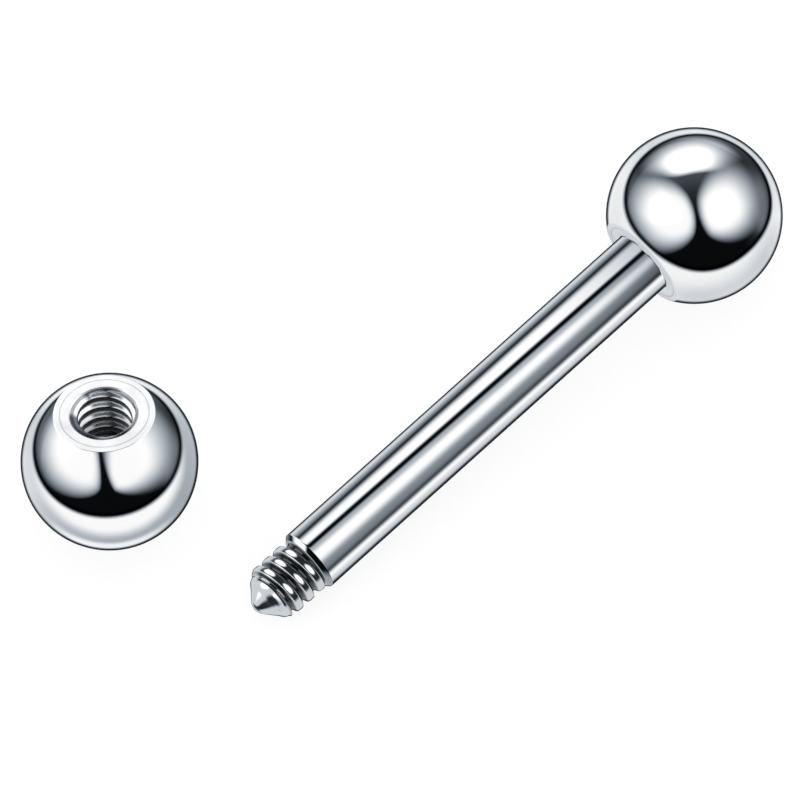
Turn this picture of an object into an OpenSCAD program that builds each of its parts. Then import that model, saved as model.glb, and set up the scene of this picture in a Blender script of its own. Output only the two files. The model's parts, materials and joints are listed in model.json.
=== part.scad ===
// Tongue barbell, laid down with its screw ball taken off. All sizes are in millimetres.
// The floor is Z = 0, X runs along the bar and the origin is under the middle of the two balls.

/* [Balls] */
// Diameter of each ball
ball_d = 5; // [4.6:0.1:6]
// Diameter of the flat that is turned on each ball
flat_d = 2.87; // [2.6:0.01:3.2]

/* [Bar] */
// Diameter of the shaft
shaft_d = 1.9; // [1.8:0.05:2]
// Length of shaft between the fixed ball's flat and the shoulder
shaft_length = 13.15; // [10:0.05:16]
// Width of the bevel round the shoulder
shoulder_bevel = 0.06; // [0.02:0.01:0.1]
// Diameter of the plain post that goes into the fixed ball
post_d = 1.5; // [1.2:0.05:1.6]
// Length of that post
post_length = 2.5; // [1.5:0.1:3]
// Clearance round the post and in front of it
seat_gap = 0.02; // [0.01:0.01:0.05]

/* [Thread] */
// Distance from one crest to the next
pitch = 0.42; // [0.4:0.01:0.46]
// Diameter over the bar's crests
crest_d = 1.73; // [1.71:0.01:1.75]
// Diameter at the bar's roots
root_d = 1.42; // [1.38:0.01:1.44]
// Distance from the shoulder to the crest line on the top of the bar
first_crest = 0.29; // [0.25:0.01:0.35]
// Distance from the shoulder to where the crests start to slope to the point
point_start = 1.26; // [1.22:0.01:1.3]
// Distance from the shoulder to the tip
thread_length = 2; // [1.95:0.05:2.1]

/* [Threaded bore] */
// Diameter of the bore inside the thread crests
bore_d = 1.5; // [1.48:0.01:1.54]
// Diameter at the bottom of the thread groove
groove_d = 1.78; // [1.76:0.01:1.84]
// Diameter of the countersunk mouth
mouth_d = 2; // [1.94:0.02:2.1]
// Depth of the cylindrical bore, from the flat
bore_depth = 3; // [2.8:0.1:3.2]
// Depth of the last full thread, from the flat
threaded_depth = 2.2; // [2:0.1:2.3]
// Distance from the flat to the groove line on the bore's first side
first_groove = 0.02; // [0:0.01:0.42]

/* [Lay] */
// How far the loose ball lies from the fixed one, along the bar
loose_along = 17.46; // [16:0.01:22]
// How far the loose ball lies from the fixed one, across the bar
loose_aside = 5.55; // [5.5:0.05:9]
// Angle of the loose ball's bore to the vertical
loose_lean = 12; // [0:1:20]
// Direction in which the bore leans, from the X axis
loose_heading = 64; // [0:1:359]

/* [Hidden] */
$fn = 96;

ball_r = ball_d / 2;
shaft_r = shaft_d / 2;
post_r = post_d / 2;
crest_r = crest_d / 2;
root_r = root_d / 2;
bore_r = bore_d / 2;
groove_r = groove_d / 2;
mouth_r = mouth_d / 2;

// Distance from a ball's centre to its flat, and to the shoulder
flat_at = sqrt(ball_r * ball_r - flat_d * flat_d / 4);
shoulder_at = flat_at + shaft_length;

// The shaft narrows to the post in a cone at 45 degrees that seats in the fixed ball
seat_depth = shaft_r - post_r;

// The blunt point is a cone that cuts the last thread away and runs into a spherical nose
point_slope = 0.95;
nose_length = 0.14;
function point_r(along) = crest_r - point_slope * (along - point_start);
point_base = point_start + (crest_r - root_r) / point_slope;
nose_start_r = point_r(thread_length - nose_length);
nose_r = (nose_start_r * nose_start_r + nose_length * nose_length) / (2 * nose_length);
nose_steps = 8;

// Helix: degrees turned per step, where the ridge rises from the relief and where it is all under the cone
step = 12;
ridge_start = -150;
ridge_rise = 48;
ridge_end = (point_base + 0.1 - first_crest) / pitch * 360;
sunk = 0.03;
under_cone = 0.01;

// The drill leaves a cone at the bottom of the bore, and the countersink is cut at about 45 degrees
drill_cone = 0.4;
sink_depth = mouth_r - bore_r + 0.04;
cut_over = 0.5;

// Thread form, from the crest line out: [distance along the axis, share of the ridge's height]
ridge_form = [[0, 1], [0.12, 0.87], [0.24, 0.545]];
ridge_foot = 0.476;
groove_form = [[0.06, 1], [0.167, 0.63], [0.283, 0.13]];
groove_foot = 0.35;

// The bar rests on its fixed ball and on the shoulder or the last full crest, whichever touches first
last_crest = first_crest + 1.5 * pitch;
function lean_on(along, radius) = asin(ball_r / norm([along, radius])) - atan(radius / along);
bar_slope = min(
    lean_on(shoulder_at - shoulder_bevel, shaft_r),
    lean_on(shoulder_at + last_crest, crest_r)
);

// One half of a form mirrored on the crest line, as [along, radius] pairs in order round the section
function section(form, foot, foot_r, base_r, top_r) = concat(
    [[-foot * pitch, foot_r]],
    [for (i = [len(form) - 1:-1:0]) [-form[i][0] * pitch, base_r + form[i][1] * (top_r - base_r)]],
    [for (p = form) if (p[0] > 0) [p[0] * pitch, base_r + p[1] * (top_r - base_r)]],
    [[foot * pitch, foot_r]]
);

// Puts a section at an angle of the helix, which climbs by one pitch in a turn
function helix_ring(section, angle, start) = [
    for (p = section)
        [p[1] * cos(angle), p[1] * sin(angle), start + pitch * angle / 360 + p[0]]
];

// A closed solid through rings that all have the same number of points
module through_rings(rings) {
    count = len(rings);
    sides = len(rings[0]);
    polyhedron(
        points = [for (ring = rings) each ring],
        faces = concat(
            [[for (i = [sides - 1:-1:0]) i]],
            [for (k = [0:count - 2], i = [0:sides - 1]) each [
                [k * sides + i, k * sides + (i + 1) % sides, (k + 1) * sides + i],
                [(k + 1) * sides + i, k * sides + (i + 1) % sides, (k + 1) * sides + (i + 1) % sides]
            ]],
            [[for (i = [0:sides - 1]) (count - 1) * sides + i]]
        ),
        convexity = 8
    );
}

// Share of the full height that the bar's ridge has at an angle of the helix
function ridge_height(angle) = max(0, min(1, (angle - ridge_start) / ridge_rise));

// Draws a ring in where it would stand out of the point's cone, its deeper points a little more
function cut_by_cone(ring) = [
    for (p = ring)
        let (
            r = norm([p[0], p[1]]),
            most = point_r(p[2]) - under_cone - 0.3 * (crest_r - r)
        )
        r > most ? [p[0] * most / r, p[1] * most / r, p[2]] : p
];

// The ridge of the bar's thread, measured from the shoulder, with its foot sunk in the core
module thread_ridge() {
    through_rings([
        for (angle = [ridge_start:step:ridge_end])
            let (top = root_r - sunk + ridge_height(angle) * (crest_r - root_r + sunk))
            cut_by_cone(helix_ring(
                section(ridge_form, ridge_foot, root_r - 2 * sunk, root_r - 1.5 * sunk, top),
                angle, first_crest))
    ]);
}

// The groove of the ball's thread, measured down from the flat, as the solid that cuts it
module thread_groove() {
    groove_end = (threaded_depth - first_groove) / pitch * 360;
    through_rings([
        for (angle = [-360:step:groove_end + ridge_rise])
            let (run_out = max(0, min(1, (groove_end + ridge_rise - angle) / ridge_rise)))
            helix_ring(section(groove_form, groove_foot, bore_r - sunk,
                bore_r - sunk / 2, bore_r - sunk / 2 + run_out * (groove_r - bore_r + sunk / 2)),
                angle, first_groove)
    ]);
}

// Half profile of the bar from its post to its tip, as [radius, distance from the fixed ball's centre]
bar_profile = concat(
    [
        [0, flat_at - post_length],
        [post_r, flat_at - post_length],
        [post_r, flat_at - seat_depth],
        [shaft_r, flat_at],
        [shaft_r, shoulder_at - shoulder_bevel],
        [shaft_r - shoulder_bevel, shoulder_at],
        [root_r, shoulder_at],
        [root_r, shoulder_at + point_base]
    ],
    [
        for (i = [0:nose_steps])
            let (a = asin(nose_start_r / nose_r) * (1 - i / nose_steps))
            [nose_r * sin(a), shoulder_at + thread_length - nose_r * (1 - cos(a))]
    ]
);

// Lays the barbell down: its axis, from the fixed ball to the tip, runs along -X and down to the floor
module lay_bar() {
    translate([loose_along / 2, -loose_aside / 2, ball_r])
        rotate([0, -90 - bar_slope, 0])
        children();
}

// Lays the loose ball down: its bore opens upward and leans
module lay_loose_ball() {
    translate([-loose_along / 2, loose_aside / 2, ball_r])
        rotate([0, 0, loose_heading])
        rotate([0, loose_lean, 0])
        children();
}

// A ball with its turned flat toward +Z
module flatted_ball() {
    difference() {
        sphere(r = ball_r);
        translate([0, 0, flat_at])
            cylinder(r = ball_r, h = ball_r);
    }
}

module bar() {
    color("silver")
        lay_bar()
        union() {
            rotate_extrude() polygon(bar_profile);
            translate([0, 0, shoulder_at]) thread_ridge();
        }
}

module fixed_ball() {
    color("gainsboro")
        lay_bar()
        difference() {
            flatted_ball();
            translate([0, 0, flat_at - post_length - seat_gap])
                cylinder(r = post_r + seat_gap, h = post_length + cut_over);
            translate([0, 0, flat_at - seat_depth])
                cylinder(
                    r1 = post_r + seat_gap,
                    r2 = shaft_r + seat_gap + cut_over,
                    h = seat_depth + cut_over
                );
        }
}

module loose_ball() {
    color("gainsboro")
        lay_loose_ball()
        difference() {
            flatted_ball();
            translate([0, 0, flat_at - bore_depth])
                cylinder(r = bore_r, h = bore_depth + cut_over);
            translate([0, 0, flat_at - bore_depth - drill_cone])
                cylinder(r1 = 0, r2 = bore_r, h = drill_cone);
            translate([0, 0, flat_at - sink_depth])
                cylinder(r1 = mouth_r - sink_depth, r2 = mouth_r + cut_over, h = sink_depth + cut_over);
            translate([0, 0, flat_at])
                rotate([180, 0, 0])
                thread_groove();
        }
}

bar();
fixed_ball();
loose_ball();
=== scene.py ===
# A polished steel tongue barbell, lying on a pale floor with its screw ball taken off.
# The bar and the two balls are lathe-turned shapes: each is built as rows of points round its own axis.

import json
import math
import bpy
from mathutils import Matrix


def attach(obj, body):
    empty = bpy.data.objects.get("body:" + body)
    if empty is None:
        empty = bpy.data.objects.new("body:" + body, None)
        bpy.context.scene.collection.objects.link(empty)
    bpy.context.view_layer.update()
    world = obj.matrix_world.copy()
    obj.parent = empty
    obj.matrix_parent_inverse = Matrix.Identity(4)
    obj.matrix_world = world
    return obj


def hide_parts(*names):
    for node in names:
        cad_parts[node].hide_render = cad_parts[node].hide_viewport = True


bl_info = {
    "name": "Tongue Barbell",
    "version": (1, 0, 0),
    "blender": (4, 5, 0),
    "location": "View3D > Sidebar > Barbell",
    "description": "Builds a tongue barbell with a threaded bar, a fixed ball and a screw ball",
    "category": "Add Mesh",
}

from collections import namedtuple

import bpy
import numpy as np
from bpy.props import FloatProperty, FloatVectorProperty, PointerProperty
from mathutils import Matrix, Vector

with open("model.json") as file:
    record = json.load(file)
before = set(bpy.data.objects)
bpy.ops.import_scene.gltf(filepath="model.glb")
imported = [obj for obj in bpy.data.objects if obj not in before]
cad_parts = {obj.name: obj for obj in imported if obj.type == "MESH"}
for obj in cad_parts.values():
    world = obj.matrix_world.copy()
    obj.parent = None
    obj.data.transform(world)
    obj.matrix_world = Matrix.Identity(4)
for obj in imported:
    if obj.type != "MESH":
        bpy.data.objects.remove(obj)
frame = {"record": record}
mounts = {mount["name"]: mount for mount in frame["record"]["mounts"]}

MM = 0.001

# Points in each ring of a turned piece, and the angle of each of them
COLUMNS = 240
TURN = 2 * math.pi * np.arange(COLUMNS) / COLUMNS

# The camera looks down at the object from here. These ways are to the right and up in its view
TOWARD_CAMERA = Vector((-0.3447, -0.3623, 0.866)).normalized()
VIEW_RIGHT = Vector((0.7245, -0.6893, 0.0)).normalized()
VIEW_UP = TOWARD_CAMERA.cross(VIEW_RIGHT)

# Rounding of the balls' rims, and the clearance round the post in its socket
RIM_EASE = 0.04 * MM
SEAT_GAP = 0.02 * MM

# A spigot on the thread fills a pocket in the shaft's face: its share of the root, and its depth
SPIGOT_SHARE = 0.6
SPIGOT_DEPTH = 0.3 * MM

# How steeply the countersink goes down from the flat, and how soon the ball's thread runs out
SINK_SLOPE = math.tan(math.radians(28))
THREAD_RUN_OUT = 0.06 * MM


def linear(hex_colour):
    """Turns an sRGB hex colour such as "c8ccd2" into linear red, green and blue."""
    parts = [int(hex_colour[i:i + 2], 16) / 255 for i in (0, 2, 4)]
    return [p / 12.92 if p <= 0.04045 else ((p + 0.055) / 1.055) ** 2.4 for p in parts]


def smooth(value, low, high):
    """0 at low, 1 at high and an S-shaped rise between, for one number or many."""
    t = np.clip((value - low) / (high - low), 0.0, 1.0)
    return t * t * (3 - 2 * t)


def length_of(name, description, millimetres):
    """A length that a user would change, shown in the scene's units."""
    return FloatProperty(name=name, description=description, default=millimetres * MM,
                         min=0.0, unit="LENGTH", precision=5)


class BarbellSizes(bpy.types.PropertyGroup):
    ball: length_of("Ball", "Diameter of each ball", 5.0)
    flat: length_of("Flat", "Diameter of the turned flat on each ball", 2.87)
    shaft: length_of("Shaft", "Diameter of the shaft", 1.9)
    shaft_length: length_of("Shaft length", "From the fixed ball's flat to the shoulder", 13.15)
    shoulder_bevel: length_of("Shoulder bevel", "Width of the bevel round the shoulder", 0.12)
    post: length_of("Post", "Diameter of the plain post inside the fixed ball", 1.5)
    post_length: length_of("Post length", "Length of that post from the flat", 2.5)
    pitch: length_of("Pitch", "Distance from one thread crest to the next", 0.42)
    crest: length_of("Crest", "Diameter over the bar's thread crests", 1.73)
    root: length_of("Root", "Diameter at the bar's thread roots", 1.42)
    first_crest: length_of("First crest", "From the shoulder to the crest on top of the bar", 0.29)
    point_start: length_of("Point start", "From the shoulder to where the crests slope to the point", 1.26)
    thread_length: length_of("Thread length", "From the shoulder to the blunt tip", 2.0)
    bore: length_of("Bore", "Diameter inside the ball's thread crests", 1.5)
    groove: length_of("Groove", "Diameter at the bottom of the ball's thread groove", 1.78)
    mouth: length_of("Mouth", "Diameter of the countersunk mouth", 2.0)
    bore_depth: length_of("Bore depth", "Depth of the straight bore from the flat", 3.0)
    threaded_depth: length_of("Threaded depth", "Depth of the last full thread", 2.2)
    first_groove: length_of("First groove", "From the flat to the groove on the bore's first side", 0.02)


class BarbellFinish(bpy.types.PropertyGroup):
    steel: FloatVectorProperty(name="Steel", description="Colour of the polished steel",
                               subtype="COLOR", default=linear("dddddd"), min=0.0, max=1.0)
    turned: FloatVectorProperty(name="Turned steel", description="Colour of the turned flats",
                                subtype="COLOR", default=linear("e3e4e5"), min=0.0, max=1.0)
    tapped: FloatVectorProperty(name="Tapped steel", description="Colour of the tapped hole",
                                subtype="COLOR", default=linear("d8dadc"), min=0.0, max=1.0)
    polish: FloatProperty(name="Polish", description="Roughness of the mirror polish",
                          subtype="FACTOR", default=0.03, min=0.0, max=1.0)


def add(tree, kind, inputs=None, **settings):
    """Adds a node, sets its own settings, and fills or links its inputs. Gives back the node."""
    node = tree.nodes.new(kind)
    for name, value in settings.items():
        setattr(node, name, value)
    for name, value in (inputs or {}).items():
        if isinstance(value, bpy.types.NodeSocket):
            tree.links.new(value, node.inputs[name])
        else:
            node.inputs[name].default_value = value
    return node


def blank_material(name):
    """A material with an empty tree, ready for its shader."""
    material = bpy.data.materials.new(name)
    material.use_nodes = True
    material.node_tree.nodes.clear()
    return material, material.node_tree


def lathe_radius(tree, place):
    """How far from its piece's own axis, Z, a point was on the lathe."""
    across = add(tree, "ShaderNodeVectorMath", {0: place, 1: (1.0, 1.0, 0.0)}, operation="MULTIPLY")
    return add(tree, "ShaderNodeVectorMath", {0: across.outputs[0]}, operation="LENGTH").outputs["Value"]


def mirror_polished_steel(finish):
    # 316L stainless steel, buffed to a mirror: clear reflections, with a slow waviness from the
    # buffing wheel and fine wipe marks that only show as a slight change of gloss
    material, tree = blank_material("mirror_polished_steel")
    place = add(tree, "ShaderNodeAttribute", attribute_name="lathe_place").outputs["Vector"]
    wipe = add(tree, "ShaderNodeTexNoise", {"Vector": place, "Scale": 1 / (0.9 * MM), "Detail": 3.0})
    gloss = add(tree, "ShaderNodeMapRange", {"Value": wipe.outputs["Fac"], "From Min": 0.3, "From Max": 0.7,
                                             "To Min": finish.polish * 0.6, "To Max": finish.polish * 1.5})
    wave = add(tree, "ShaderNodeTexNoise", {"Vector": place, "Scale": 1 / (1.6 * MM), "Detail": 1.0})
    bump = add(tree, "ShaderNodeBump", {"Height": wave.outputs["Fac"], "Strength": 0.04,
                                        "Distance": 0.01 * MM})
    shader = add(tree, "ShaderNodeBsdfPrincipled", {
        "Base Color": (*finish.steel, 1.0), "Metallic": 1.0,
        "Roughness": gloss.outputs["Result"], "Normal": bump.outputs["Normal"]})
    add(tree, "ShaderNodeOutputMaterial", {"Surface": shader.outputs[0]})
    return material


def turned_steel(finish):
    # Steel faced on a lathe: fine rings that keep the face pale and satin, and one deeper ring
    # near the rim where the tool stopped
    ring_radius, ring_reach, ring_weight = 1.26 * MM, 0.02 * MM, 0.6
    material, tree = blank_material("turned_steel")
    place = add(tree, "ShaderNodeAttribute", attribute_name="lathe_place").outputs["Vector"]
    radius = lathe_radius(tree, place)
    rings = add(tree, "ShaderNodeCombineXYZ", {0: radius})
    uneven = add(tree, "ShaderNodeTexNoise", {"Vector": rings.outputs[0], "Scale": 1 / (0.11 * MM),
                                              "Detail": 2.0})
    patch = add(tree, "ShaderNodeTexNoise", {"Vector": place, "Scale": 1 / (0.7 * MM), "Detail": 2.0})
    stop = add(tree, "ShaderNodeMath", {0: radius, 1: ring_radius, 2: ring_reach}, operation="COMPARE")
    mark = add(tree, "ShaderNodeMath", {0: stop.outputs[0], 1: ring_weight, 2: patch.outputs["Fac"]},
               operation="MULTIPLY_ADD")
    shade = add(tree, "ShaderNodeMapRange", {"Value": mark.outputs[0], "From Min": 0.35, "From Max": 1.2,
                                             "To Min": 1.0, "To Max": 0.6})
    colour = add(tree, "ShaderNodeVectorMath", {0: finish.turned, "Scale": shade.outputs["Result"]},
                 operation="SCALE")
    bump = add(tree, "ShaderNodeBump", {"Height": uneven.outputs["Fac"], "Strength": 0.3,
                                        "Distance": 0.003 * MM})
    gloss = add(tree, "ShaderNodeMapRange", {"Value": uneven.outputs["Fac"], "From Min": 0.3, "From Max": 0.7,
                                             "To Min": 0.2, "To Max": 0.3})
    shader = add(tree, "ShaderNodeBsdfPrincipled", {
        "Base Color": colour.outputs[0], "Metallic": 1.0,
        "Roughness": gloss.outputs["Result"], "Normal": bump.outputs["Normal"]})
    add(tree, "ShaderNodeOutputMaterial", {"Surface": shader.outputs[0]})
    return material


def rolled_thread_steel(finish):
    # A thread rolled between dies and then tumbled: bright crests, a little softer than the shaft,
    # with streaks that run round with the thread, and painted shade in the valleys, but not on the
    # point: darker colour that stands in for the shade between the ridges
    valley, ridge = 0.76 * MM, 0.84 * MM
    point_from, point_to = 16.45 * MM, 16.6 * MM
    material, tree = blank_material("rolled_thread_steel")
    place = add(tree, "ShaderNodeAttribute", attribute_name="lathe_place").outputs["Vector"]
    radius = lathe_radius(tree, place)
    along = add(tree, "ShaderNodeSeparateXYZ", {0: place}).outputs["Z"]
    # Painted shade: the colour falls to a tenth toward the thread's roots
    valley_shade = add(tree, "ShaderNodeMapRange", {"Value": radius, "From Min": valley, "From Max": ridge,
                                            "To Min": 0.1, "To Max": 1.0}, interpolation_type="SMOOTHSTEP")
    # The point is left without that painted shade
    unshaded = add(tree, "ShaderNodeMapRange", {"Value": along, "From Min": point_from, "From Max": point_to})
    shade = add(tree, "ShaderNodeMath", {0: valley_shade.outputs["Result"], 1: unshaded.outputs["Result"]},
                operation="MAXIMUM")
    colour = add(tree, "ShaderNodeVectorMath", {0: finish.steel, "Scale": shade.outputs[0]},
                 operation="SCALE")
    streak_place = add(tree, "ShaderNodeMapping", {"Vector": place, "Scale": (1.0, 1.0, 6.0)})
    streaks = add(tree, "ShaderNodeTexNoise", {"Vector": streak_place.outputs[0], "Scale": 1 / (0.5 * MM),
                                               "Detail": 3.0})
    gloss = add(tree, "ShaderNodeMapRange", {"Value": streaks.outputs["Fac"], "From Min": 0.3,
                                             "From Max": 0.7, "To Min": 0.06, "To Max": 0.12})
    bump = add(tree, "ShaderNodeBump", {"Height": streaks.outputs["Fac"], "Strength": 0.1,
                                        "Distance": 0.01 * MM})
    shader = add(tree, "ShaderNodeBsdfPrincipled", {
        "Base Color": colour.outputs[0], "Metallic": 1.0,
        "Roughness": gloss.outputs["Result"], "Normal": bump.outputs["Normal"]})
    add(tree, "ShaderNodeOutputMaterial", {"Surface": shader.outputs[0]})
    return material


def tapped_steel(finish):
    # The inside of a drilled and tapped hole: cut steel with fine tool marks round the axis. The
    # groove's flanks keep the steel's colour near the mouth. The lands, the roots and the deep end get
    # painted shade: darker colour that stands in for the shade inside the hole, whose walls are not
    # seen mirrored in each other
    land, flank = 0.755 * MM, 0.785 * MM
    groove, root = 0.86 * MM, 0.885 * MM
    deep, shallow = 0.3 * MM, 1.5 * MM
    material, tree = blank_material("tapped_steel")
    place = add(tree, "ShaderNodeAttribute", attribute_name="lathe_place").outputs["Vector"]
    radius = lathe_radius(tree, place)
    # Painted shade: the lands, nearest the axis, are darkened almost to black
    land_shade = add(tree, "ShaderNodeMapRange", {"Value": radius, "From Min": land, "From Max": flank,
                                           "To Min": 0.015, "To Max": 1.0}, interpolation_type="SMOOTHSTEP")
    # Painted shade: darker toward the bottom of the groove
    root_shade = add(tree, "ShaderNodeMapRange", {"Value": radius, "From Min": groove, "From Max": root,
                                            "To Min": 1.0, "To Max": 0.4})
    mark_place = add(tree, "ShaderNodeMapping", {"Vector": place, "Scale": (1.0, 1.0, 10.0)})
    marks = add(tree, "ShaderNodeTexNoise", {"Vector": mark_place.outputs[0], "Scale": 1 / (0.4 * MM),
                                             "Detail": 3.0})
    height = add(tree, "ShaderNodeSeparateXYZ", {0: place}).outputs["Z"]
    # Painted shade that darkens the hole toward its deep end
    depth = add(tree, "ShaderNodeMapRange", {"Value": height, "From Min": deep, "From Max": shallow,
                                             "To Min": 0.05, "To Max": 1.0})
    unshaded = add(tree, "ShaderNodeMath", {0: land_shade.outputs["Result"], 1: root_shade.outputs["Result"]},
                operation="MULTIPLY")
    shade = add(tree, "ShaderNodeMath", {0: unshaded.outputs[0], 1: depth.outputs["Result"]},
                operation="MULTIPLY")
    colour = add(tree, "ShaderNodeVectorMath", {0: finish.tapped, "Scale": shade.outputs[0]},
                 operation="SCALE")
    gloss = add(tree, "ShaderNodeMapRange", {"Value": marks.outputs["Fac"], "From Min": 0.3, "From Max": 0.7,
                                             "To Min": 0.06, "To Max": 0.12})
    bump = add(tree, "ShaderNodeBump", {"Height": marks.outputs["Fac"], "Strength": 0.15,
                                        "Distance": 0.01 * MM})
    shader = add(tree, "ShaderNodeBsdfPrincipled", {
        "Base Color": colour.outputs[0], "Metallic": 1.0,
        "Roughness": gloss.outputs["Result"], "Normal": bump.outputs["Normal"]})
    add(tree, "ShaderNodeOutputMaterial", {"Surface": shader.outputs[0]})
    return material


def shared(maker, finish):
    """The same finish is made once, under its maker's name, and shared by the pieces that have it."""
    return bpy.data.materials.get(maker.__name__) or maker(finish)


def eased_corner(before, corner, after, ease, finish=0, steps=6):
    """Rows of a small round that replaces the corner between two straight lines."""
    corner = Vector(corner)
    back = (Vector(before) - corner).normalized()
    on = (Vector(after) - corner).normalized()
    half = back.angle(on) / 2
    centre = corner + (back + on).normalized() * (ease / math.sin(half))
    first = corner + back * (ease / math.tan(half)) - centre
    last = corner + on * (ease / math.tan(half)) - centre
    sweep = math.atan2(first.x * last.y - first.y * last.x, first.dot(last))
    start = math.atan2(first.y, first.x)
    angles = [start + sweep * k / steps for k in range(steps + 1)]
    return [(centre.x + ease * math.cos(a), centre.y + ease * math.sin(a), finish) for a in angles]


def turned_piece(name, rows, finishes, place):
    """A closed turned mesh, laid down by the matrix. Each row is (radius or radii, along, finish index)."""
    points = []
    starts = []
    poles = [np.ndim(radius) == 0 and radius == 0 for radius, along, finish in rows]
    for (radius, along, finish), pole in zip(rows, poles):
        starts.append(len(points))
        if pole:
            points.append((0.0, 0.0, along))
            continue
        radii = radius * np.ones(COLUMNS)
        points += zip(radii * np.cos(TURN), radii * np.sin(TURN), along * np.ones(COLUMNS))
    faces = []
    slots = []
    for row in range(len(rows) - 1):
        low, high = starts[row], starts[row + 1]
        for column in range(COLUMNS):
            beside = (column + 1) % COLUMNS
            if poles[row]:
                faces.append((low, high + beside, high + column))
            elif poles[row + 1]:
                faces.append((low + column, low + beside, high))
            else:
                faces.append((low + column, low + beside, high + beside, high + column))
            slots.append(rows[row][2])
    mesh = bpy.data.meshes.new(name)
    mesh.from_pydata([place @ Vector(point) for point in points], [], faces)
    for finish in finishes:
        mesh.materials.append(finish)
    mesh.polygons.foreach_set("material_index", slots)
    mesh.polygons.foreach_set("use_smooth", [True] * len(faces))
    # The finishes run round the turning axis, so each point keeps its place on the lathe
    lathe = mesh.attributes.new("lathe_place", "FLOAT_VECTOR", "POINT")
    lathe.data.foreach_set("vector", np.array(points).ravel())
    mesh.update()
    piece = bpy.data.objects.new(name, mesh)
    bpy.context.scene.collection.objects.link(piece)
    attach(piece, "root")
    # Each piece is lit on its own, and none is seen mirrored in another
    piece.visible_glossy = False
    return piece


def on_axis(centre, axis, side):
    """Where a piece goes: its own Z along the axis, and its own Y along the given side."""
    z = axis.normalized()
    y = side.normalized()
    x = y.cross(z)
    return Matrix.Translation(centre) @ Matrix((x, y, z)).transposed().to_4x4()


def flat_distance(sizes):
    """How far a ball's flat is from its middle."""
    return math.sqrt((sizes.ball / 2) ** 2 - (sizes.flat / 2) ** 2)


def middle_and_axis(sizes, on_the_axis, flat):
    """A ball's middle, from a mount on its axis and the mount of its flat, and that axis."""
    axis = Vector(mounts[on_the_axis]["axis"]).normalized()
    start = Vector(mounts[on_the_axis]["pos_m"])
    to_flat = (Vector(mounts[flat]["pos_m"]) - start).dot(axis)
    return start + axis * (to_flat - flat_distance(sizes)), axis


def barbell_place(sizes):
    """The bar's own frame, with its origin in the fixed ball's middle and Z toward the tip."""
    middle, axis = middle_and_axis(sizes, "bar_thread", "fixed_ball_flat")
    return on_axis(middle, axis, Vector((0.0, 1.0, 0.0)))


def loose_ball_place(sizes):
    """The loose ball's own frame, with its origin in its middle and Z out of the hole."""
    middle, axis = middle_and_axis(sizes, "ball_thread", "loose_ball_flat")
    return on_axis(middle, axis, Vector((0.0, 0.0, 1.0)).cross(axis))


def ball_rows(sizes, steps=100, rim_steps=8, turned_from=6):
    """The outside of a ball, from the pole opposite its flat over the flat's rim."""
    r = sizes.ball / 2
    up = flat_distance(sizes) - RIM_EASE
    tilt = math.acos(up / (r - RIM_EASE))
    rows = [(0, -r, 0)]
    for k in range(1, steps + 1):
        angle = math.pi + (tilt - math.pi) * k / steps
        rows.append((r * math.sin(angle), r * math.cos(angle), 0))
    # The last steps over the rim have the flat's finish
    out = (r - RIM_EASE) * math.sin(tilt)
    for k in range(1, rim_steps + 1):
        angle = tilt * (1 - k / rim_steps)
        finish = 1 if k >= turned_from else 0
        rows.append((out + RIM_EASE * math.sin(angle), up + RIM_EASE * math.cos(angle), finish))
    return rows


def eased_min(first, second, ease):
    """The smaller of two heights, with the edge between them rounded."""
    share = np.clip(0.5 + 0.5 * (second - first) / ease, 0, 1)
    return first * share + second * (1 - share) - ease * share * (1 - share)


def point_radius(sizes, along, slope=0.72, bulge=0.383 / MM):
    """Radius of the point, a slightly bulging cone, at a distance from the shoulder."""
    past = along - sizes.point_start
    return sizes.crest / 2 - slope * past - bulge * past * past


def nose_radius(sizes, to_tip, nose):
    """Radius of the small round nose at a distance from the tip."""
    rim = point_radius(sizes, sizes.thread_length - nose)
    ball = (rim * rim + nose * nose) / (2 * nose)
    return math.sqrt(2 * ball * to_tip - to_tip * to_tip)


def thread_radii(sizes, along):
    """Radii round the threaded end at a distance from the shoulder."""
    nose = 0.08 * MM
    to_tip = sizes.thread_length - along
    if to_tip < nose:
        return nose_radius(sizes, to_tip, nose) * np.ones(COLUMNS)
    turns = (along - sizes.first_crest) / sizes.pitch - TURN / (2 * math.pi)
    nearest = np.round(turns)
    off = np.abs(turns - nearest)
    # A low dome for the crest, and steep flanks
    crown = 1 - 1.04 * off * off
    flank = 4.8 * (0.43 - off)
    share = np.maximum(eased_min(crown, flank, 0.2), 0)
    # The ridge rises out of the relief between these angles of the helix
    rise_from, rise_to = -150, -100
    share *= smooth(np.degrees(TURN) + 360 * nearest, rise_from, rise_to)
    # The last ridge runs out on the point, where it still stands up a little
    last_ridge, merge = 0.035 * MM, 0.03 * MM
    past = along - sizes.point_start
    left_over = last_ridge * share * smooth(past, 0.1 * MM, 0.2 * MM)
    left_over *= 1 - smooth(past, 0.25 * MM, 0.45 * MM)
    crest, root = sizes.crest / 2, sizes.root / 2
    return eased_min(root + (crest - root) * share, point_radius(sizes, along) + left_over, merge)


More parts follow.
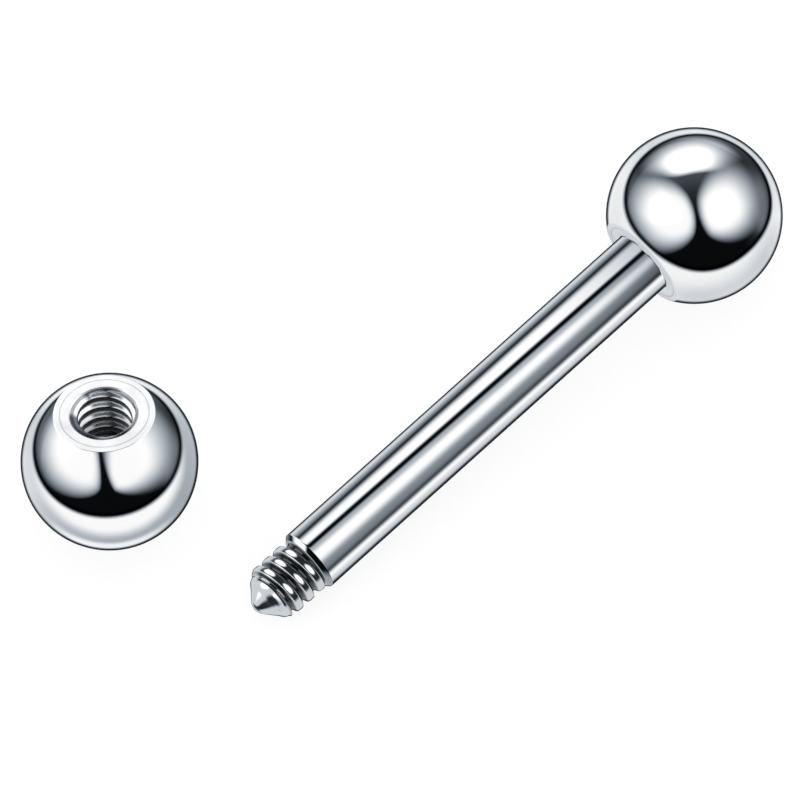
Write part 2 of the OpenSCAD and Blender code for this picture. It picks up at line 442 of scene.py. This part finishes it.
class MakeShaft(bpy.types.Operator):
    """Builds the bar's post, shaft and bevelled shoulder"""

    bl_idname = "barbell.make_shaft"
    bl_label = "Shaft"

    def execute(self, context):
        sizes, finish = context.scene.barbell_sizes, context.scene.barbell_finish
        shaft, post = sizes.shaft / 2, sizes.post / 2
        flat_at = flat_distance(sizes)
        end = flat_at - sizes.post_length
        seat = flat_at - (shaft - post)
        shoulder = flat_at + sizes.shaft_length
        bevel_from = shoulder - sizes.shoulder_bevel
        face = shaft - sizes.shoulder_bevel
        spigot = SPIGOT_SHARE * sizes.root / 2
        rows = [(0, end, 0)]
        rows += eased_corner((0, end), (post, end), (post, seat), 0.05 * MM)
        rows.append((post, seat, 0))
        rows.append((shaft, flat_at, 0))
        # A row next to each bend keeps the shading of the long straight side even
        rows.append((shaft, flat_at + 0.02 * MM, 0))
        rows.append((shaft, bevel_from - 0.05 * MM, 0))
        rows += eased_corner((shaft, flat_at), (shaft, bevel_from), (face, shoulder), 0.03 * MM)
        rows += eased_corner((shaft, bevel_from), (face, shoulder), (sizes.root / 2, shoulder), 0.02 * MM)
        rows.append((spigot, shoulder, 0))
        rows.append((spigot, shoulder - SPIGOT_DEPTH, 0))
        rows.append((0, shoulder - SPIGOT_DEPTH, 0))
        piece = turned_piece("bar_shaft", rows, [shared(mirror_polished_steel, finish)], barbell_place(sizes))
        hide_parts("bar")
        return {"FINISHED"}


class MakeThread(bpy.types.Operator):
    """Builds the bar's thread, with its relief and its blunt point"""

    bl_idname = "barbell.make_thread"
    bl_label = "Thread"

    def execute(self, context):
        sizes, finish = context.scene.barbell_sizes, context.scene.barbell_finish
        shoulder = flat_distance(sizes) + sizes.shaft_length
        spigot = SPIGOT_SHARE * sizes.root / 2
        rows = [(0, shoulder - SPIGOT_DEPTH, 0), (spigot, shoulder - SPIGOT_DEPTH, 0), (spigot, shoulder, 0)]
        # A small fillet at the shoulder, and then rings that are 0.008 mm apart
        fillet, fillet_steps, rings = 0.04 * MM, 4, 246
        start = thread_radii(sizes, fillet)
        for k in range(fillet_steps + 1):
            angle = math.pi / 2 * k / fillet_steps
            out, up = fillet * (1 - math.sin(angle)), fillet * (1 - math.cos(angle))
            rows.append((start + out, shoulder + up, 0))
        for k in range(1, rings):
            along = fillet + (sizes.thread_length - fillet) * k / rings
            rows.append((thread_radii(sizes, along), shoulder + along, 0))
        rows.append((0, shoulder + sizes.thread_length, 0))
        piece = turned_piece("bar_thread", rows, [shared(rolled_thread_steel, finish)], barbell_place(sizes))
        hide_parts("bar")
        return {"FINISHED"}


class MakeFixedBall(bpy.types.Operator):
    """Builds the ball that stays on the bar, with its turned flat and the socket for the post"""

    bl_idname = "barbell.make_fixed_ball"
    bl_label = "Fixed ball"

    def execute(self, context):
        sizes, finish = context.scene.barbell_sizes, context.scene.barbell_finish
        flat_at = flat_distance(sizes)
        mouth = sizes.shaft / 2 + SEAT_GAP
        socket = sizes.post / 2 + SEAT_GAP
        seat = flat_at - (mouth - socket)
        bottom = flat_at - sizes.post_length - SEAT_GAP
        rows = ball_rows(sizes)
        rows += eased_corner((sizes.flat / 2, flat_at), (mouth, flat_at), (socket, seat), RIM_EASE, 1)
        rows.append((socket, seat, 1))
        rows.append((socket, bottom, 1))
        rows.append((0, bottom, 1))
        finishes = [shared(mirror_polished_steel, finish), shared(turned_steel, finish)]
        piece = turned_piece("ball_on_bar", rows, finishes, barbell_place(sizes))
        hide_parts("fixed_ball")
        return {"FINISHED"}


def bore_radii(sizes, depth):
    """Radii round the tapped hole at a depth from the flat."""
    bore, groove = sizes.bore / 2, sizes.groove / 2
    turns = (depth - sizes.first_groove) / sizes.pitch + TURN / (2 * math.pi)
    off = np.abs(turns - np.round(turns))
    # Straight flanks from a narrow root to a wide land, with the corner at the land well rounded
    foot, width, ease = 0.30, 0.17, 0.35
    flank = (foot - off) / width
    share = np.clip(np.where(np.abs(flank) < ease, (flank + ease) ** 2 / (4 * ease), flank), 0, 1)
    share *= 1 - smooth(depth, sizes.threaded_depth, sizes.threaded_depth + THREAD_RUN_OUT)
    countersink = sizes.mouth / 2 - depth / SINK_SLOPE
    return np.maximum(bore + share * (groove - bore), countersink)


class MakeLooseBall(bpy.types.Operator):
    """Builds the screw ball, with its turned flat, countersunk mouth and tapped hole"""

    bl_idname = "barbell.make_loose_ball"
    bl_label = "Screw ball"

    def execute(self, context):
        sizes, finish = context.scene.barbell_sizes, context.scene.barbell_finish
        flat_at = flat_distance(sizes)
        mouth = sizes.mouth / 2
        down = (mouth - MM, flat_at - SINK_SLOPE * MM)
        rows = ball_rows(sizes)
        rows += eased_corner((sizes.flat / 2, flat_at), (mouth, flat_at), down, 0.02 * MM, 1)
        # Rings down the thread, from just past that round to just past the run-out
        step = 0.01 * MM
        last = int((sizes.threaded_depth + THREAD_RUN_OUT + 0.02 * MM) / step)
        for k in range(2, last + 1):
            rows.append((bore_radii(sizes, step * k), flat_at - step * k, 2))
        # The drill left a shallow cone, with a small round where it meets the wall
        bore, cone = sizes.bore / 2, 0.4 * MM
        bottom = flat_at - sizes.bore_depth
        rows.append((bore, bottom, 2))
        rows.append((bore * 0.98, bottom - 0.01 * MM, 2))
        rows.append((0, bottom - cone, 2))
        finishes = [shared(mirror_polished_steel, finish), shared(turned_steel, finish),
                    shared(tapped_steel, finish)]
        piece = turned_piece("screw_ball", rows, finishes, loose_ball_place(sizes))
        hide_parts("loose_ball")
        return {"FINISHED"}


# A soft box as a mirror sees it. Azimuth, elevation and turn are in degrees. Width and height are
# tangents of a quarter of the angle that it fills. Square is 2 for an oval and more for squarer
# corners. Soft is how far its edge fades, with a lean across and up, and fall bends that fade
SoftBox = namedtuple("SoftBox", "azimuth elevation turn width height square soft "
                                "lean_across lean_up bright fall")

# The table: elevation of its far edge in degrees, how much and where that edge rises, how much it
# waves, how soft it is and how bright. It has that brightness past the second of two angles from
# straight away from the camera. Within the first, a list below says how bright it is all round
Table = namedtuple("Table", "edge rise rise_azimuth wave soft bright from_angle to_angle")
# Azimuth of one of the three crests of that wave
WAVE_AZIMUTH = 55

# The darkest that the studio gets, how much light is left where a dark card hides it, the tint
# of dim light, and the strength of full light
DARKEST = 0.003
LEFT_BY_CARD = 0.03
COOL_GREY = np.array([0.83, 0.98, 1.15])
TENT_STRENGTH = 1.38

# Three soft boxes over the fixed ball, and the fainter light that they spill on the studio's walls
FIXED_BALL_BOXES = [
    SoftBox(172, 45, 6, 0.30, 0.25, 1.8, 0.67, -0.28, -0.23, 0.96, 0.83),
    SoftBox(-66, 49, 10, 0.27, 0.24, 1.75, 0.75, 0.26, -0.22, 1.02, 0.9),
    SoftBox(54, 42, 8, 0.16, 0.13, 2.6, 1.35, -0.10, -0.45, 1.64, 0.9),
    SoftBox(132, 27, 44, 0.54, 0.22, 1.6, 0.91, -1.31, -0.04, 0.14, 4.6),
    SoftBox(-28, 8, 0, 0.25, 0.23, 5.0, 1.84, 0.24, 1.50, 0.14, 4.8),
    SoftBox(63, -19, -15, 0.51, 0.15, 4.9, 1.54, 0.61, -1.15, 0.11, 5.0),
    SoftBox(56, 55, -4, 1.00, 0.30, 4.0, 1.15, -0.59, 0.70, 0.06, 3.1),
]
FIXED_BALL_TABLE = Table(-16.6, 8.3, 138, 2.5, 3.7, 0.90, 48, 96)

# The loose ball lies to one side of the lamps, so that it sees them turned, and a darker table
LOOSE_BALL_BOXES = [
    SoftBox(150, 41, 2, 0.41, 0.24, 1.7, 0.64, -0.23, -0.26, 0.97, 0.62),
    SoftBox(-77, 52, 20, 0.39, 0.28, 1.55, 0.78, 0.51, -0.24, 0.96, 1.08),
    SoftBox(-38, 8, 0, 0.25, 0.23, 5.0, 1.84, 0.24, 1.50, 0.10, 4.8),
    SoftBox(63, -19, -15, 0.51, 0.15, 4.9, 1.54, 0.61, -1.15, 0.16, 5.0),
    SoftBox(56, 55, -4, 1.00, 0.30, 4.0, 1.15, -0.59, 0.70, 0.06, 3.1),
]
LOOSE_BALL_TABLE = Table(-18.6, 4.3, -52, 0.0, 3.8, 0.95, 56, 84)
# A bright patch right under the loose ball
LOOSE_BALL_PATCH = SoftBox(-134, -85, 0, 0.17, 0.09, 2.0, 0.8, 0, 0, 0.42, 1.0)
# What its flat and hole mirror: one lamp for the flat, one for each side of the hole, and two low
# ones for the countersink and the thread
FLAT_BOXES = [
    SoftBox(53, 37, 0, 0.20, 0.20, 2.0, 0.3, 0, 0, 0.88, 1.0),
    SoftBox(113, 38, 0, 0.20, 0.18, 2.0, 0.4, 0, 0, 1.2, 1.0),
    SoftBox(-10, 42, 0, 0.20, 0.18, 2.0, 0.4, 0, 0, 1.2, 1.0),
    SoftBox(88, 10, 0, 0.30, 0.14, 2.0, 0.6, 0, 0, 0.9, 1.0),
    SoftBox(12, 10, 0, 0.15, 0.10, 2.0, 0.9, 0, 0, 0.12, 1.0),
]

# Brightness of the table round each ball's rim, by degrees from the right in the camera's view
ROUND_THE_FIXED_BALL = [
    (-180, 0.80), (-120, 0.78), (-105, 0.70), (-90, 0.62), (-60, 0.65), (-30, 0.60), (-15, 0.68),
    (0, 0.82), (30, 0.70), (60, 0.66), (90, 0.80), (120, 0.68), (150, 0.84), (180, 0.80),
]
ROUND_THE_LOOSE_BALL = [
    (-180, 0.70), (-160, 0.68), (-140, 0.54), (-120, 0.47), (-90, 0.42), (-60, 0.41), (-25, 0.38),
    (0, 0.43), (30, 0.50), (60, 0.78), (90, 0.93), (120, 0.93), (150, 0.62), (180, 0.70),
]

# Brightness round the shaft, by degrees from its top: from the table on one side, over the lamps,
# to the table on the other
ROUND_THE_SHAFT = [
    (-180, 0.02), (-166, 0.02), (-160, 0.06), (-150, 0.42), (-142, 0.62), (-130, 0.70), (-118, 0.94),
    (-110, 0.94), (-103, 0.42), (-96, 0.06), (-90, 0.07), (-80, 0.19), (-66, 0.25), (-58, 0.34),
    (-50, 0.62), (-40, 0.96), (-34, 1.0), (42, 1.0), (48, 0.88), (54, 0.60), (60, 0.22), (66, 0.02),
    (72, 0.03), (84, 0.26), (96, 0.49), (108, 0.70), (114, 0.68), (121, 0.36), (128, 0.05), (180, 0.02),
]

# Two small lamps that the thread's point mirrors near its base, and the middle of the dark spot
# that it mirrors ahead of its tip, all in the bar's own frame
POINT_LAMPS = [
    SoftBox(53, 57, 0, 0.14, 0.07, 2.0, 0.6, 0, 0, 0.9, 1.0),
    SoftBox(-68, 65, 0, 0.14, 0.07, 2.0, 0.6, 0, 0, 0.9, 1.0),
]
DARK_SPOT = (-0.15, -0.24, 0.96)
# Angle round the bar, from its top, at which the camera stands
CAMERA_ROUND_THE_BAR = -22


def soft_box(toward, box):
    """Brightness of one soft box in each direction: full inside a rounded shape, fading at its edge."""
    azimuth, elevation, turn = (math.radians(a) for a in (box.azimuth, box.elevation, box.turn))
    middle = np.array([math.cos(elevation) * math.cos(azimuth), math.cos(elevation) * math.sin(azimuth),
                       math.sin(elevation)])
    level = np.array([-math.sin(azimuth), math.cos(azimuth), 0.0])
    upright = np.cross(middle, level)
    right = level * math.cos(turn) + upright * math.sin(turn)
    up = upright * math.cos(turn) - level * math.sin(turn)
    away = np.maximum(1 + toward @ middle, 1e-6)
    x = toward @ right / away / box.width
    y = toward @ up / away / box.height
    out = (np.abs(x) ** box.square + np.abs(y) ** box.square) ** (1 / box.square)
    soft = np.clip(box.soft + box.lean_across * x + box.lean_up * y, 0.02, 2.5)
    lit = 1 - smooth(out, 1 - np.minimum(soft, 1.9) / 2, 1 + soft)
    return box.bright * lit ** box.fall


def degrees_from(axis, toward):
    """Angle in degrees of each direction from an axis."""
    return np.degrees(np.arccos(np.clip(toward @ np.array(axis), -1, 1)))


def turn_and_rise(toward):
    """Angle round Z from X, and angle up toward Z, of each direction in degrees."""
    turn = np.degrees(np.arctan2(toward[:, 1], toward[:, 0]))
    return turn, np.degrees(np.arcsin(np.clip(toward[:, 2], -1, 1)))


def seen_by_ball(boxes, table, round_the_ball, patch=None, flat_boxes=(), flat_axis=None):
    """Gives the function that says how bright a ball's surroundings are in each direction."""
    def light_toward(toward):
        light = DARKEST + sum(soft_box(toward, box) for box in boxes)
        if flat_boxes:
            # The flat cut off the ball's slopes up to 34 degrees from its axis. What they would
            # mirror, only the flat and the hole see
            slope = toward + np.array(TOWARD_CAMERA)
            slope /= np.linalg.norm(slope, axis=1)[:, None] + 1e-9
            own = 1 - smooth(degrees_from(flat_axis, slope), 25, 34)
            dim_walls = 0.07
            light = light * (1 - own) + own * (dim_walls + sum(soft_box(toward, box) for box in flat_boxes))
        azimuth, elevation = turn_and_rise(toward)
        rise = math.radians(table.rise_azimuth)
        edge = table.edge + table.rise * (toward[:, 0] * math.cos(rise) + toward[:, 1] * math.sin(rise))
        edge += table.wave * np.cos(3 * np.radians(azimuth - WAVE_AZIMUTH))
        above = elevation - edge
        around = np.degrees(np.arctan2(toward @ np.array(VIEW_UP), toward @ np.array(VIEW_RIGHT)))
        tone = np.interp(around, *np.transpose(round_the_ball))
        off = degrees_from(-TOWARD_CAMERA, toward)
        tone += (table.bright - tone) * smooth(off, table.from_angle, table.to_angle)
        if patch:
            tone += soft_box(toward, patch)
        # The walls are dark just above the table's edge
        over = smooth(above, -table.soft, table.soft)
        return light * smooth(above, 4, 11) * over + tone * (1 - over)
    return light_toward


def behind_card(toward, middle, inner, outer):
    """Share of the light that a dark card leaves, out from its middle: little, and all past its edge."""
    return LEFT_BY_CARD + (1 - LEFT_BY_CARD) * smooth(degrees_from(middle, toward), inner, outer)


def seen_by_shaft(toward):
    """How bright the shaft's surroundings are in each direction of the bar's own frame."""
    angle, lean = turn_and_rise(toward)
    light = np.interp(angle, *np.transpose(ROUND_THE_SHAFT))
    # A dark slit between two lamps, sharp on one side, drifts a little along the bar
    slit = 8.5 + 50 * (toward[:, 2] + 0.255)
    past = angle - slit
    far_side = 0.45 * smooth(-past, 4, 15) + 0.55 * smooth(-past, 16, 36)
    light *= np.where(past > 0, smooth(past, 3, 14), far_side)
    # The lamps end a little way past the fixed ball, while the table goes on, and more lamps follow
    lamps = smooth(angle, -104, -98) * (1 - smooth(angle, 66, 72))
    light *= 1 - lamps * (1 - smooth(lean, -30, -18)) * (1 - 0.8 * smooth(-lean, 36, 50))
    # Past the tip only the shoulder's bevel looks: at one more lamp, and at dim walls
    bevel_lamp = smooth(angle, 40, 60) * (1 - smooth(angle, 95, 115))
    dim_walls = 0.35 * smooth(np.abs(angle), 115, 150)
    beyond = smooth(lean, 4, 12)
    return light * (1 - beyond) + (bevel_lamp + dim_walls) * beyond + DARKEST


def seen_by_thread(toward):
    """How bright the thread's surroundings are: two oval lamps, pale sides and a dark spot ahead."""
    angle, lean = turn_and_rise(toward)
    pale_sides = 1 - smooth(angle, -118, -98) + smooth(angle, 78, 100)
    light = 0.02 + 0.6 * np.maximum(pale_sides, smooth(lean, 25, 40))
    # Only the flanks see what lies beyond the bar from the camera, and most of it is dark
    from_camera = np.abs((angle - CAMERA_ROUND_THE_BAR + 180) % 360 - 180)
    seen_by_flanks = smooth(lean, 30, 48) + 1 - smooth(lean, -34, -24)
    light *= 1 - 0.9 * smooth(from_camera, 134, 146) * seen_by_flanks
    lamp_lean, lamp_width, lamp_height = -14, 27, 14
    for lamp_angle in (-48, 48):
        out = np.hypot((angle - lamp_angle) / lamp_width, (lean - lamp_lean) / lamp_height)
        light += 1.1 * (1 - smooth(out, 0.7, 1.15))
    light += sum(soft_box(toward, lamp) for lamp in POINT_LAMPS)
    return light * behind_card(toward, DARK_SPOT, 12, 26)


def dome(name, radius, around=480, up=240):
    """A sphere's mesh, and the direction of each of its points from its middle."""
    turn, rise = np.meshgrid(2 * math.pi * np.arange(around) / around,
                             math.pi * (np.arange(up + 1) / up - 0.5))
    toward = np.stack((np.cos(rise) * np.cos(turn), np.cos(rise) * np.sin(turn), np.sin(rise)), axis=-1)
    first = np.arange(around * up)
    beside = first + 1 - around * ((first + 1) % around == 0)
    faces = np.stack((first, beside, beside + around, first + around), axis=-1)
    mesh = bpy.data.meshes.new(name)
    mesh.from_pydata((toward.reshape(-1, 3) * radius).tolist(), [], faces.tolist())
    return mesh, toward.reshape(-1, 3)


def light_tent(name, piece, place, radius, light_toward):
    """A dome of light for one piece alone, since each lies at its own place among the lamps."""
    mesh, toward = dome(name, radius)
    tent = bpy.data.objects.new(name, mesh)
    tent.matrix_world = place
    bpy.context.scene.collection.objects.link(tent)
    # A dark card opposite the camera draws the thin outline of polished metal
    card = place.to_3x3().inverted() @ -TOWARD_CAMERA
    light = light_toward(toward) * behind_card(toward, card, 20, 34)
    # Dim light is a cool blue grey, and full light is white
    light = light[:, None]
    white = np.clip(1.1 * light, 0, 1)
    colour = np.ones((len(light), 4))
    colour[:, :3] = light * (white + (1 - white) * COOL_GREY)
    painted = mesh.attributes.new("light", "FLOAT_COLOR", "POINT")
    painted.data.foreach_set("color", colour.ravel())

    material, tree = blank_material(name + "_light")
    seen = add(tree, "ShaderNodeAttribute", attribute_name="light").outputs["Color"]
    glow = add(tree, "ShaderNodeEmission", {"Color": seen, "Strength": TENT_STRENGTH})
    clear = add(tree, "ShaderNodeBsdfTransparent")
    both = add(tree, "ShaderNodeAddShader", {0: glow.outputs[0], 1: clear.outputs[0]})
    add(tree, "ShaderNodeOutputMaterial", {"Surface": both.outputs[0]})
    material.cycles.emission_sampling = "NONE"
    mesh.materials.append(material)
    tent.visible_camera = False
    tent.visible_diffuse = False
    tent.visible_shadow = False
    tent.visible_transmission = False
    lit = bpy.data.collections.new(name + "_pieces")
    lit.objects.link(bpy.data.objects[piece])
    tent.light_linking.receiver_collection = lit


def plain_white_world():
    """White for the eye and for matt things. Polished metal sees the light tents instead."""
    world = bpy.data.worlds.new("white_room")
    world.use_nodes = True
    tree = world.node_tree
    tree.nodes.clear()
    rays = add(tree, "ShaderNodeLightPath")
    white = add(tree, "ShaderNodeBackground", {"Color": (*linear("ffffff"), 1.0), "Strength": 1.05})
    dark = add(tree, "ShaderNodeBackground", {"Color": (*linear("000000"), 1.0)})
    mixed = add(tree, "ShaderNodeMixShader", {0: rays.outputs["Is Glossy Ray"], 1: white.outputs[0],
                                              2: dark.outputs[0]})
    add(tree, "ShaderNodeOutputWorld", {"Surface": mixed.outputs[0]})
    world.cycles.sampling_method = "NONE"
    return world


def pale_floor():
    """A plain pale sheet just under the object, which shows a faint contact shadow."""
    half, drop = 400 * MM, 0.002 * MM
    corners = [(-half, -half, 0), (half, -half, 0), (half, half, 0), (-half, half, 0)]
    mesh = bpy.data.meshes.new("floor")
    mesh.from_pydata(corners, [], [(0, 1, 2, 3)])
    floor = bpy.data.objects.new("floor", mesh)
    floor.location.z = -drop
    bpy.context.scene.collection.objects.link(floor)
    # Matt white paper that glows a little from below, so that its shadows stay faint
    material, tree = blank_material("matt_white_paper")
    paper = add(tree, "ShaderNodeBsdfDiffuse", {"Color": (*linear("fdfdfd"), 1.0)})
    glow = add(tree, "ShaderNodeEmission", {"Color": (*linear("fefefe"), 1.0), "Strength": 1.06})
    both = add(tree, "ShaderNodeMixShader", {0: 0.8, 1: paper.outputs[0], 2: glow.outputs[0]})
    add(tree, "ShaderNodeOutputMaterial", {"Surface": both.outputs[0]})
    mesh.materials.append(material)
    floor.visible_glossy = False


class MakeStudio(bpy.types.Operator):
    """Sets up the pale floor, the soft light and the camera"""

    bl_idname = "barbell.make_studio"
    bl_label = "Studio"

    def execute(self, context):
        scene = context.scene
        sizes = scene.barbell_sizes
        pale_floor()
        scene.world = plain_white_world()
        scene.view_settings.view_transform = "Standard"

        # The shaft's tent is near, so that its light drifts along the shaft. The others are far, and
        # each has a radius of its own, so that no two domes cross
        bar = barbell_place(sizes)
        shaft = bar @ Matrix.Translation((0, 0, flat_distance(sizes) + sizes.shaft_length / 2))
        light_tent("shaft_tent", "bar_shaft", shaft, 45 * MM, seen_by_shaft)
        along = flat_distance(sizes) + sizes.shaft_length + sizes.thread_length / 2
        thread = bar @ Matrix.Translation((0, 0, along))
        light_tent("thread_tent", "bar_thread", thread, 180 * MM, seen_by_thread)
        light_tent("fixed_ball_tent", "ball_on_bar", Matrix.Translation(bar.translation), 200 * MM,
                   seen_by_ball(FIXED_BALL_BOXES, FIXED_BALL_TABLE, ROUND_THE_FIXED_BALL))
        loose = loose_ball_place(sizes)
        light_tent("loose_ball_tent", "screw_ball", Matrix.Translation(loose.translation), 220 * MM,
                   seen_by_ball(LOOSE_BALL_BOXES, LOOSE_BALL_TABLE, ROUND_THE_LOOSE_BALL, LOOSE_BALL_PATCH,
                                FLAT_BOXES, loose.col[2].xyz))

        # The photograph's frame is this wide at the object, and its middle this far left and down
        frame_width, left, down = 22.535 * MM, 0.080 * MM, 1.741 * MM
        target = Vector((0, 0, sizes.ball / 2)) - VIEW_RIGHT * left - VIEW_UP * down
        data = bpy.data.cameras.new("camera")
        data.lens, data.sensor_width = 1000.0, 36.0
        data.clip_start, data.clip_end = 0.05, 5.0
        camera = bpy.data.objects.new("camera", data)
        scene.collection.objects.link(camera)
        distance = frame_width * data.lens / data.sensor_width
        view = Matrix((VIEW_RIGHT, VIEW_UP, TOWARD_CAMERA)).transposed().to_4x4()
        camera.matrix_world = Matrix.Translation(target + TOWARD_CAMERA * distance) @ view
        scene.camera = camera
        return {"FINISHED"}


class BarbellPanel(bpy.types.Panel):
    """Sizes, finish and pieces of the tongue barbell"""

    bl_idname = "VIEW3D_PT_barbell"
    bl_label = "Tongue Barbell"
    bl_space_type = "VIEW_3D"
    bl_region_type = "UI"
    bl_category = "Barbell"

    def draw(self, context):
        layout = self.layout
        for operator in OPERATORS:
            layout.operator(operator.bl_idname)
        for group in (context.scene.barbell_sizes, context.scene.barbell_finish):
            column = layout.column()
            for name in group.__annotations__:
                column.prop(group, name)


OPERATORS = (MakeShaft, MakeThread, MakeFixedBall, MakeLooseBall, MakeStudio)
CLASSES = (BarbellSizes, BarbellFinish, *OPERATORS, BarbellPanel)


def register():
    for item in CLASSES:
        bpy.utils.register_class(item)
    bpy.types.Scene.barbell_sizes = PointerProperty(type=BarbellSizes)
    bpy.types.Scene.barbell_finish = PointerProperty(type=BarbellFinish)


def unregister():
    del bpy.types.Scene.barbell_finish
    del bpy.types.Scene.barbell_sizes
    for item in reversed(CLASSES):
        bpy.utils.unregister_class(item)


def main():
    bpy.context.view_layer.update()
    register()
    bpy.ops.barbell.make_shaft()
    bpy.ops.barbell.make_thread()
    bpy.ops.barbell.make_fixed_ball()
    bpy.ops.barbell.make_loose_ball()
    bpy.ops.barbell.make_studio()


if __name__ == "__main__":
    main()
